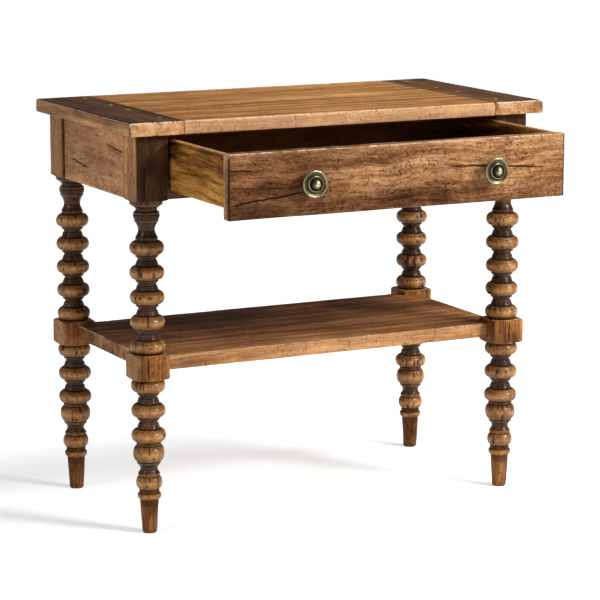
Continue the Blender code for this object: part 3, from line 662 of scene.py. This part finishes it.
# the hollow between two beads in the same four values, its heights as parts of the hollow's own
LINK_TURNING = (
    (0.06, 0.0172, 0.0170, 0.0),
    (0.15, 0.0170, 0.0166, 0.0009),
    (0.16, 0.0158, 0.0144, -0.0003),
    (0.15, 0.0142, 0.0144, -0.0003),
    (0.15, 0.0146, 0.0154, 0.0009),
    (0.15, 0.0154, 0.0164, 0.0009),
    (0.14, 0.0164, 0.0170, 0.0009),
    (0.04, 0.0162, 0.0160, 0.0),
)


def turned_run(schedule, top):
    """(radius, height) down turned lengths: a taper, with a half ellipse of swell or half wave of hollow."""
    part = (1 - np.cos(np.linspace(0.0, np.pi, 33))) / 2
    bulge = np.sqrt(np.clip(1 - (2 * part - 1) ** 2, 0.0, 1.0))
    wave = np.sin(np.pi * part)
    runs = []
    for height, above, below, swell in schedule:
        shape = bulge if swell > 0 else wave
        runs.append(np.stack((above + (below - above) * part + swell * shape, top - height * part)))
        top -= height
    return np.concatenate(runs, axis=1)


def bead_run(top, bottom):
    """Equal beads touching both ends, and between them a hollow with small ribs cut in it."""
    gaps = max(1, round((top - bottom - BEAD_HEIGHT) / BEAD_PITCH))
    pitch = (top - bottom - BEAD_HEIGHT) / gaps
    link = pitch - BEAD_HEIGHT
    hollow = [(link * part, above, below, swell) for part, above, below, swell in LINK_TURNING]
    runs = []
    for number in range(gaps + 1):
        start = top - number * pitch
        runs.append(turned_run([(BEAD_HEIGHT, *BEAD_TURNING)], start))
        if number < gaps:
            runs.append(turned_run(hollow, start - BEAD_HEIGHT))
    return np.concatenate(runs, axis=1)


def leg_outline():
    """The whole leg's (radius, height), walked at 0.8 mm along its outline and softened over as much."""
    corner = HALF_SQUARE * np.sqrt(2)
    shoulder = np.array(((corner, 0.0340, HALF_SQUARE), (0.0035, 0.0012, 0.0)))
    head = sum(length[0] for length in HEAD_TURNING)
    foot = sum(length[0] for length in FOOT_TURNING)
    parts = (
        np.array(((corner,), (LEG_TOP,))),
        shoulder + np.array(((0.0,), (APRON_LEVEL,))),
        turned_run(HEAD_TURNING, APRON_LEVEL),
        bead_run(APRON_LEVEL - head, BLOCK_TOP),
        shoulder[:, ::-1] * np.array(((1.0,), (-1.0,))) + np.array(((0.0,), (BLOCK_TOP,))),
        shoulder + np.array(((0.0,), (BLOCK_BOTTOM,))),
        bead_run(BLOCK_BOTTOM, foot),
        turned_run(FOOT_TURNING, foot),
    )
    radius, height = np.concatenate(parts, axis=1)
    walked = np.concatenate(((0.0,), np.cumsum(np.hypot(np.diff(radius), np.diff(height)) + 1e-9)))
    even = np.linspace(0.0, walked[-1], int(walked[-1] / 0.0008))
    radius, height = np.interp(even, walked, radius), np.interp(even, walked, height)
    ends = height[[0, -1]].copy()
    radius[1:-1] = (radius[:-2] + 2 * radius[1:-1] + radius[2:]) / 4
    height[1:-1] = (height[:-2] + 2 * height[1:-1] + height[2:]) / 4
    height[[0, -1]] = ends
    return radius, height


def leg_rings(x, y, seed, sides=72):
    """A leg's rings: the circle of each radius, held inside a square with rounded, unevenly worn corners.

    The square reaches half / (|cos|^p + |sin|^p)^(1/p) in each direction, with a large p; noise takes a
    little more off its corners and off the beads, and cuts short upright splits into the turned part. Returns
    the rings, the surface as a plain tube and before the splits, each ring's radius and height, and where the
    blocks, their corners and the splits are.
    """
    radius, height = leg_outline()
    even = np.linspace(0.0, 2 * np.pi, sides, endpoint=False) + np.pi / 4
    angle = even + 0.13 * np.sin(4 * even)
    c, s = np.cos(angle), np.sin(angle)
    grid = np.zeros((len(radius), sides, 3))
    grid[..., 0] = c * HALF_SQUARE
    grid[..., 1] = s * HALF_SQUARE
    grid[..., 2] = height[:, None]
    grid += np.array((x, y, 0.0))
    in_block = radius > 0.031
    square = HALF_SQUARE / (abs(c) ** 24 + abs(s) ** 24) ** (1 / 24)
    cornerness = np.clip((square / HALF_SQUARE - 1.08) / 0.30, 0.0, 1.0)
    chips = patchy(grid, 0.03, seed) * 0.0009 + np.maximum(patchy(grid, 0.007, seed + 1) - 0.72, 0.0) * 0.004
    square = square[None, :] - cornerness[None, :] ** 2 * chips
    uneven = (patchy(grid, 0.02, seed + 2) - 0.5) * 0.0007
    uneven = uneven - np.maximum(patchy(grid, 0.006, seed + 3) - 0.75, 0) * 0.0022
    reach = np.minimum(radius[:, None] + uneven - 0.0002, square)
    reach = np.minimum(reach, HALF_SQUARE / np.maximum(abs(c), abs(s))[None, :])
    rings = grid.copy()
    rings[..., 0] = x + reach * c
    rings[..., 1] = y + reach * s
    whole = rings.copy()
    splits = np.clip(patchy(grid * np.array((1.0, 1.0, 0.42)), 0.0036, seed + 8) * 7.0 - 5.1, 0.0, 1.0)
    splits = splits * (patchy(grid, 0.03, seed + 9) > 0.35) * ~in_block[:, None]
    rings[..., 0] -= (rings[..., 0] - x) * splits * 0.045
    rings[..., 1] -= (rings[..., 1] - y) * splits * 0.045
    return rings, (grid, whole), (radius, height), (in_block[:, None], cornerness, splits)


def leg_marks(y, seed, rings, surfaces, outline, places):
    """How a leg is worn, waxed dark and polished, each a value between 0 and 1 at every point.

    The dark wax is deepest where the radius falls below the largest one within 12 mm along the leg, and fills
    the splits and the shoulder under the apron block; the same value paints shade on the front of a block
    beside the drawer and a painted shadow line where the apron meets a block. The wear follows the largest
    radii, the ribs and the corners.
    """
    grid, whole = surfaces
    radius, height = outline
    in_block, cornerness, splits = places
    turned_radius = np.minimum(radius, 0.0268)
    apart = np.abs(height[:, None] - height[None, :])
    widest = np.where(apart < 0.012, turned_radius[None, :], 0.0).max(axis=1)
    hollow = np.clip((widest - turned_radius) / 0.0085, 0.0, 1.0)
    around = np.sum((apart < 0.0022) * radius[None, :], axis=1) / np.sum(apart < 0.0022, axis=1)
    rib = np.clip((radius - around) / 0.0004, 0.0, 1.0) * ~in_block[:, 0] * (hollow > 0.12)
    in_head = (height > APRON_LEVEL - 0.062) & (height < APRON_LEVEL + 0.0005)
    hollow = np.maximum(hollow, 0.75 * in_head)

    crest = np.clip(1 - hollow * 5, 0.0, 1.0) * (radius > 0.015)
    crest = np.where(in_block[:, 0], 0.0, crest)[:, None]
    wear = 0.75 * crest * (0.35 + 0.8 * patchy(whole, 0.009, seed + 5)) + 0.3 * rib[:, None]
    wear = wear + in_block * cornerness**4 * 0.35 * (0.3 + 0.9 * patchy(whole, 0.012, seed + 6))
    wear = wear * (1 - splits)
    outer_face = in_block & (abs(rings[..., 0]) > LEG_X + HALF_SQUARE - 0.0008)
    wear = np.maximum(wear, 0.36 * outer_face * (0.6 + 0.5 * patchy(rings, 0.013, seed + 10)))

    glaze = np.where(in_block[:, 0], 0.0, 0.95 * hollow**0.6 - 0.25 * rib)[:, None]
    glaze = np.maximum(glaze * (0.75 + 0.4 * patchy(grid, 0.01, seed + 4)), 0.95 * splits)
    apron_block = in_block & (height > APRON_LEVEL)[:, None]
    # painted shade: the front face of a front leg's block beside the open drawer is darkened where the drawer
    # casts its shadow
    drawer_shadow = apron_block & (rings[..., 1] < y - HALF_SQUARE + AT_FACE) & (y < 0)
    glaze = np.maximum(glaze, drawer_shadow * (0.72 + 0.25 * patchy(rings, 0.02, seed + 7)))
    # painted shadow: a dark line along each apron block's outer face, at the edge where the set-back apron
    # meets it
    inner_side = y + np.sign(BETWEEN_LEG_ROWS - y) * HALF_SQUARE
    joint_shadow = apron_block * np.exp(-abs(rings[..., 1] - inner_side) / 0.0025) * (abs(rings[..., 0]) > 0.32)
    glaze = np.maximum(glaze, 0.8 * joint_shadow)
    low_foot = 0.4 * np.exp(-height / 0.006)
    shoulders = 0.35 * np.exp(-abs(height - APRON_LEVEL) / 0.004)
    glaze = np.maximum(glaze, np.maximum(low_foot, shoulders)[:, None])
    polished = np.where(in_block | (height < 0.07)[:, None], 0.0, 1.0) * np.ones(rings.shape[1])
    return {"wear": wear, "glaze": glaze, "polished": polished}


leg_wood = wood(
    "bead_leg_wood", 2, (tone(66, 32, 11), tone(112, 66, 30), tone(148, 96, 48), tone(182, 128, 70)),
    streak=95.0, stretch=0.10, sway=0.003, mottle=0.7, cloud=0.6, pores=0.9, specks=0.65, checks=0.95,
    check_way=(1.0, 0.22), rubbed=tone(226, 168, 98), dirt=tone(30, 14, 5),
    roughness=0.45, shine=0.10, gloss=0.32, relief=0.9,
    cracks=(
        (0, 2, 0.516, 0.573, -0.3250, -0.3246, 0.0014, 1, -0.0685, -0.066),
        (0, 2, 0.243, 0.279, -0.3210, -0.3225, 0.0012, 1, -0.0685, -0.066),
        (0, 2, 0.243, 0.277, 0.3096, 0.3100, 0.0012, 1, -0.0685, -0.066),
    ),
)
for number, place in enumerate(("front_left", "front_right", "back_left", "back_right")):
    node = f"leg_{place}"
    low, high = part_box(node)
    x, y = (low[0] + high[0]) / 2, (low[1] + high[1]) / 2
    seed = 31 + 7 * number
    rings, surfaces, outline, places = leg_rings(x, y, seed)
    fields = leg_marks(y, seed, rings, surfaces, outline, places)
    skin(f"turned_{node}", rings, leg_wood, "table", node, "leg_wood", **fields)


# ---- aprons
# Three wide boards under the top, tenoned into the legs and set back a little from their faces. Wax darkens
# the joints, painted shade darkens a band under the top, and the side boards have opened in short drying
# cracks.
side_cracks = (
    (2, 1, -0.008, 0.062, 0.581, 0.588, 0.0013, 0, -0.34, -0.32),
    (2, 1, 0.134, 0.210, 0.542, 0.550, 0.0013, 0, -0.34, -0.32),
)
apron_tones = (tone(92, 52, 26), tone(142, 94, 55), tone(176, 126, 80), tone(204, 156, 108))
apron_wood = wood(
    "side_apron_wood", 1, apron_tones, streak=44.0, stretch=0.07, cloud=0.45, pores=0.8, specks=0.9,
    checks=0.6, nicks=(1, 2, 1.5), cracks=side_cracks,
)
back_wood = wood(
    "back_apron_wood", 0, apron_tones, streak=44.0, stretch=0.07, seed=3.0, cloud=0.35, specks=0.5,
    checks=0.4,
)
apron_tenon = 0.0199
for node, along in (("side_apron_left", 1), ("side_apron_right", 1), ("back_apron", 0)):
    low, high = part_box(node)
    low[along] += apron_tenon
    high[along] -= apron_tenon
    apron_eases = (0.0010, 0.0010, 0.0006, 0.0006)
    rings, outward, near = board(low, high, along, apron_eases, (0.0025,) * 4, 41, end_ease=0.0004)
    rings = dented(rings, outward, 43, 30, 0.004, 0.0005)
    rings = cracked(rings, outward, side_cracks if along == 1 else (), 0.0012)
    joint = np.minimum(rings[..., along] - low[along], high[along] - rings[..., along])
    under_top = high[2] - rings[..., 2]
    # wax darkens the joints; the band just under the top is painted shade from the top's overhang
    glaze = 0.6 * np.exp(-joint / 0.0022) + 0.25 * np.exp(-under_top / 0.006)
    wear = 0.3 * np.exp(-near / 0.002) * (joint > 0.004) * (under_top > 0.004)
    finish = back_wood if along == 0 else apron_wood
    skin(f"{node}_board", rings, finish, "table", node, "apron_wood", wear=wear, glaze=glaze)


# ---- shelf
# Two boards side by side between the legs, with a tight seam between them. Their corners are let into the
# square blocks, the top arris in front is rubbed pale, and painted shade darkens the boards towards the back.
shelf_wood = wood(
    "shelf_wood", 0, (tone(80, 42, 17), tone(138, 88, 46), tone(178, 128, 80), tone(208, 160, 110)),
    streak=50.0, stretch=0.04, sway=0.008, tight=1.3, seed=1.3, cloud=0.35, specks=0.8, checks=0.6,
    # the gradient is painted shade: the boards darken towards the back, away from the front light
    nicks=(0, 1, 1.2), stains=((1, 0.0, 0.16, 0.7),), rubbed=tone(204, 154, 108), roughness=0.62,
)
for name, seed in (("front", 51), ("back", 53)):
    node = f"shelf_board_{name}"
    low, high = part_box(node)
    high[2] -= 0.0002
    eases = (0.0010, 0.0006, 0.0006, 0.0022) if name == "front" else (0.0006, 0.0010, 0.0022, 0.0006)
    rings, outward, near = board(low, high, 0, eases, (0.004, 0.006, 0.003, 0.006), seed)
    rings = dented(rings, outward, seed + 1, 50, 0.0045, 0.0006)
    seam = (high[1] - rings[..., 1]) if name == "front" else (rings[..., 1] - low[1])
    arris = np.exp(-near / ARRIS_RUB) * (seam > JOINT_BAND)
    front_face = (rings[..., 1] < low[1] + AT_FACE) & (near > 0.0005)
    wear = np.maximum(arris * 0.5, 0.45 * front_face) * (0.3 + 0.5 * patchy(rings, 0.012, seed))
    pale = chipped(rings, near, high[2], (1.4, 0.0010), (0.012, seed, 1.2)) * (seam > JOINT_BAND)
    glaze = 0.7 * np.exp(-seam / 0.0012)
    fields = {"wear": wear, "glaze": glaze, "pale": pale}
    skin(f"shelf_plank_{name}", rings, shelf_wood, "table", node, "shelf_wood", **fields)


# ---- drawer front
# One thick board with lively figure, open drying cracks, worm holes and knocks from years of use. Its top
# arris is worn pale, and dark wax has stayed at its two ends.
front_cracks = (
    (2, 0, -0.281, -0.150, 0.5315, 0.5455, 0.0016, 1, -0.269, -0.262),
    (2, 0, 0.070, 0.262, 0.5690, 0.5560, 0.0013, 1, -0.269, -0.262),
    (2, 0, -0.2815, -0.240, 0.5822, 0.5800, 0.0012, 1, -0.269, -0.262),
)
front_wood = wood(
    "drawer_front_wood", 0, (tone(70, 38, 14), tone(136, 90, 52), tone(184, 139, 96), tone(218, 178, 134)),
    streak=42.0, stretch=0.085, sway=0.016, mottle=0.8, seed=0.7, cloud=0.40, pores=0.8, specks=1.0,
    checks=0.8, nicks=(0, 2, 1.8), cracks=front_cracks,
    # the first gradient darkens the board towards its left end, partly stain and partly painted shade where
    # the light from the right falls off; the second darkens it towards the bottom
    stains=((0, 0.14, -0.30, 0.70), (2, 0.560, 0.515, 0.60)),
    rubbed=tone(206, 160, 116), shine=0.06,
)
low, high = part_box("drawer_front")
front_eases = (0.0014, 0.0008, 0.0008, 0.0022)
rings, outward, near = board(low, high, 0, front_eases, (0.006, 0.004, 0.006, 0.002), 61, 0.002)
rings = dented(rings, outward, 63, 120, 0.0032, 0.0005, 0.00035)
rings = cracked(rings, outward, front_cracks, 0.0014)
upper = rings[..., 2] > high[2] - CHIP_REACH
wear = np.exp(-near / 0.0018) * upper * (0.5 + 0.5 * patchy(rings, 0.012, 9))
pale = chipped(rings, near, high[2], (1.5, 0.0012), (0.012, 9, 1.0))
from_end = np.minimum(rings[..., 0] - low[0], high[0] - rings[..., 0])
front_face = rings[..., 1] < low[1] + AT_FACE
corner = np.hypot(from_end - 0.0008, rings[..., 1] - low[1] - 0.0004)
glaze = front_face * 0.20 * np.exp(-from_end / 0.012) * patchy(rings, 0.015, 12)
glaze = np.maximum(glaze, 0.95 * np.clip(2.0 - corner / 0.0012, 0.0, 1.0))
wear = np.maximum(wear, 0.75 * (from_end < 0.0004))
fields = {"wear": wear, "glaze": glaze, "pale": pale}
skin("drawer_front_board", rings, front_wood, "drawer", "drawer_front", "drawer_front_wood", **fields)


# ---- drawer sides
# Two thin boards of plainer, greener brown wood let into the front board, with strong grain running back.
# Their upper edges are bare and bright.
side_wood = wood(
    "drawer_side_wood", 1, (tone(28, 13, 3), tone(80, 46, 14), tone(134, 88, 34), tone(186, 134, 64)),
    streak=70.0, stretch=0.07, sway=0.012, tight=1.7, specks=0.3, checks=0.35, rubbed=tone(222, 168, 104),
    shine=0.06,
)
side_eases = (0.0006, 0.0006, 0.0016, 0.0016)
for side in ("left", "right"):
    node = f"drawer_side_{side}"
    low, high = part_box(node)
    rings, outward, near = board(low, high, 1, side_eases, (0.004, 0.004, 0.002, 0.004), 71, end_ease=0.0004)
    rings = dented(rings, outward, 73, 20, 0.004, 0.0004)
    top_edge = np.clip(1.8 - (high[2] - rings[..., 2]) / 0.0012, 0.0, 1.0)
    wear = top_edge * (0.65 + 0.4 * patchy(rings, 0.014, 13))
    glaze = 0.8 * np.exp(-(rings[..., 1] - low[1]) / 0.0022)
    skin(f"{node}_board", rings, side_wood, "drawer", node, "inner_wood", wear=wear, glaze=glaze)


# ---- knobs
# Two knobs turned in brass: a dished disc with a raised ring and a small dome, on a waisted stem. They have
# darkened with age, and only the rims and the dome are rubbed bright.
def aged_brass():
    """Brass: a bright and a dark tone mixed by the glaze in the hollows and by cloudy tarnish."""
    made, shader, signal = blank_material("aged_brass")
    tarnish = signal.noise(signal.here(), 170.0, 5.0, 0.65)
    fine = signal.noise(signal.here(), 1400.0, 3.0, 0.6)
    glaze = signal.field("glaze")
    wear = signal.field("wear")
    colour = signal.mix(tone(142, 132, 98), tone(92, 84, 58), tarnish.rise(0.35, 0.7))
    colour = signal.mix(colour, tone(214, 204, 168), wear)
    signal.mix(colour, tone(46, 40, 26), glaze).feed(shader, "Base Color")
    (0.20 + tarnish * 0.16 + glaze * 0.25 - wear * 0.06).feed(shader, "Roughness")
    shader.inputs["Metallic"].default_value = 1.0
    (tarnish * 0.5 + fine * 0.3).bump(0.25, 0.0003).feed(shader, "Normal")
    return made


def knob_outline(projection, rim_radius):
    """(radius, distance out) from the dome's middle to the wall, its corners cut twice by quarters."""
    rim = projection - 0.0085
    angle = np.linspace(0.0, np.pi / 2, 12)[1:]
    dome = np.stack((0.0080 * np.sin(angle), projection - 0.0065 * (1 - np.cos(angle))))
    rest = np.array((
        (0.0090, 0.0096, 0.0104, 0.0112, 0.0122, 0.0130, 0.0150, rim_radius - 0.0032, rim_radius - 0.0016,
         rim_radius, rim_radius, rim_radius - 0.0012, 0.0095, 0.0068, 0.0065, 0.0065, 0.0078, 0.0095, 0.0095),
        (rim + 0.0006, rim + 0.0010, rim + 0.0026, rim + 0.0028, rim + 0.0014, rim - 0.0006, rim - 0.0010,
         rim - 0.0004, rim + 0.0010, rim + 0.0004, rim - 0.0014, rim - 0.0030, rim - 0.0060, rim - 0.0090,
         rim - 0.0110, 0.0040, 0.0022, 0.0012, 0.0003),
    ))
    line = np.concatenate((dome, rest), axis=1)
    for _ in range(2):
        near = line[:, :-1] * 0.75 + line[:, 1:] * 0.25
        far = line[:, :-1] * 0.25 + line[:, 1:] * 0.75
        woven = np.stack((near, far), axis=-1).reshape(2, -1)
        line = np.concatenate((line[:, :1], woven, line[:, -1:]), axis=1)
    start = np.array(((0.0004,), (projection,)))
    return np.concatenate((start, line), axis=1)


brass = aged_brass()
knob_sides = 96
for side in ("left", "right"):
    node = f"knob_{side}"
    low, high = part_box(node)
    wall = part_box("drawer_front")[0][1]
    radius, out = knob_outline(wall - low[1], (high[0] - low[0]) / 2)
    centre = ((low[0] + high[0]) / 2, wall, (low[2] + high[2]) / 2)
    rings = turned(centre, radius, out, knob_sides, True)
    local = np.abs(radius[:, None] - radius[None, :]) + np.abs(out[:, None] - out[None, :]) < 0.0045
    proud = np.where(local, out[None, :], -1.0).max(axis=1) - out
    hollow = np.clip(proud / 0.0022, 0.0, 1.0) * (out > 0.012) + (out <= 0.012) * 0.6
    glaze = np.repeat((hollow * 0.95)[:, None], knob_sides, axis=1)
    on_rim = np.clip(1.0 - (radius.max() - radius) / 0.0012, 0.15, 0.7)
    crest = (1 - hollow) ** 2 * np.where(radius < 0.0118, 0.8, on_rim)
    wear = np.repeat(crest[:, None], knob_sides, axis=1)
    skin(f"turned_{node}", rings, brass, "drawer", node, "knob_brass", wear=wear, glaze=glaze)


# ---- hidden frame and the drawer's inside
# Rails, runners, guides and kickers of plain wood, the drawer's thin bottom and back, and the steel screws
# that hold the knobs: these keep their shape and take a bare, dry finish.
rail_wood = wood(
    "front_rail_wood", 0, (tone(70, 42, 24), tone(118, 80, 50), tone(148, 106, 70), tone(172, 130, 92)),
    cloud=0.4, specks=0.4, checks=0.3, seed=2.0,
)
inner_wood = wood(
    "bare_inner_wood", 1, (tone(70, 44, 22), tone(112, 76, 42), tone(142, 102, 60), tone(168, 126, 80)),
    streak=60.0, roughness=0.7, cloud=0.4, specks=0.2, checks=0.2, seed=4.0,
)
bottom_wood = wood(
    "drawer_bottom_wood", 0, (tone(60, 38, 18), tone(96, 64, 36), tone(124, 88, 52), tone(150, 112, 70)),
    streak=50.0, roughness=0.7, cloud=0.4, specks=0.2, checks=0.2, seed=5.0,
)
steel, shader, signal = blank_material("plain_screw_steel")
turnings = signal.noise(signal.vector("MULTIPLY", signal.here(), (1.0, 6.0, 1.0)), 500.0)
signal.mix(tone(150, 146, 140), tone(104, 98, 92), turnings).feed(shader, "Base Color")
(0.32 + turnings * 0.2).feed(shader, "Roughness")
shader.inputs["Metallic"].default_value = 1.0
finishes = {
    "lower_front_rail": rail_wood, "upper_front_rail": rail_wood, "drawer_back": bottom_wood,
    "drawer_bottom": bottom_wood, "knob_screw_left": steel, "knob_screw_right": steel,
}
for kind in ("runner", "guide", "kicker"):
    finishes.update({f"drawer_{kind}_{side}": inner_wood for side in ("left", "right")})
for node, finish in finishes.items():
    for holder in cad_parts[node].material_slots:
        holder.material = finish

low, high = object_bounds()
